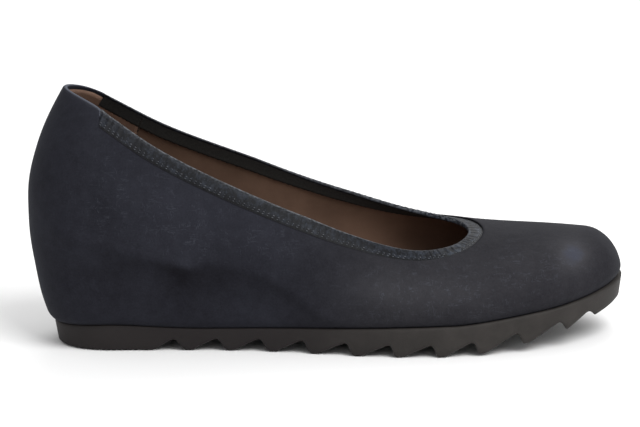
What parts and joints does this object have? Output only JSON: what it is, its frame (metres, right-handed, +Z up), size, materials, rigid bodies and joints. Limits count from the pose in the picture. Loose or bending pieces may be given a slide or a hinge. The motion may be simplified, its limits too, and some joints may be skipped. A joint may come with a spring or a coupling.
{
  "type": "ballet flat",
  "caption": "Right ballet flat with a hidden inner wedge: hollow nubuck upper, bound topline, raised heel tab and a saw-tooth rubber sole.",
  "frame": {"origin": "on the floor, under the middle of the shoe's length and width", "axes": "+X from heel to toe, +Y to the medial side of a right foot, +Z up"},
  "size_m": [0.2522, 0.0856, 0.1096],
  "materials": {
    "outsole": "matt dark brown-grey moulded rubber",
    "upper": "dark navy nubuck with a short nap",
    "collar_binding": "satin navy leather trim",
    "insole": "smooth tan-brown leather over a light wedge"
  },
  "bodies": {
    "root": {"outsole": "outsole", "upper": "upper", "collar_binding": "collar_binding", "insole": "insole"}
  },
  "joints": []
}
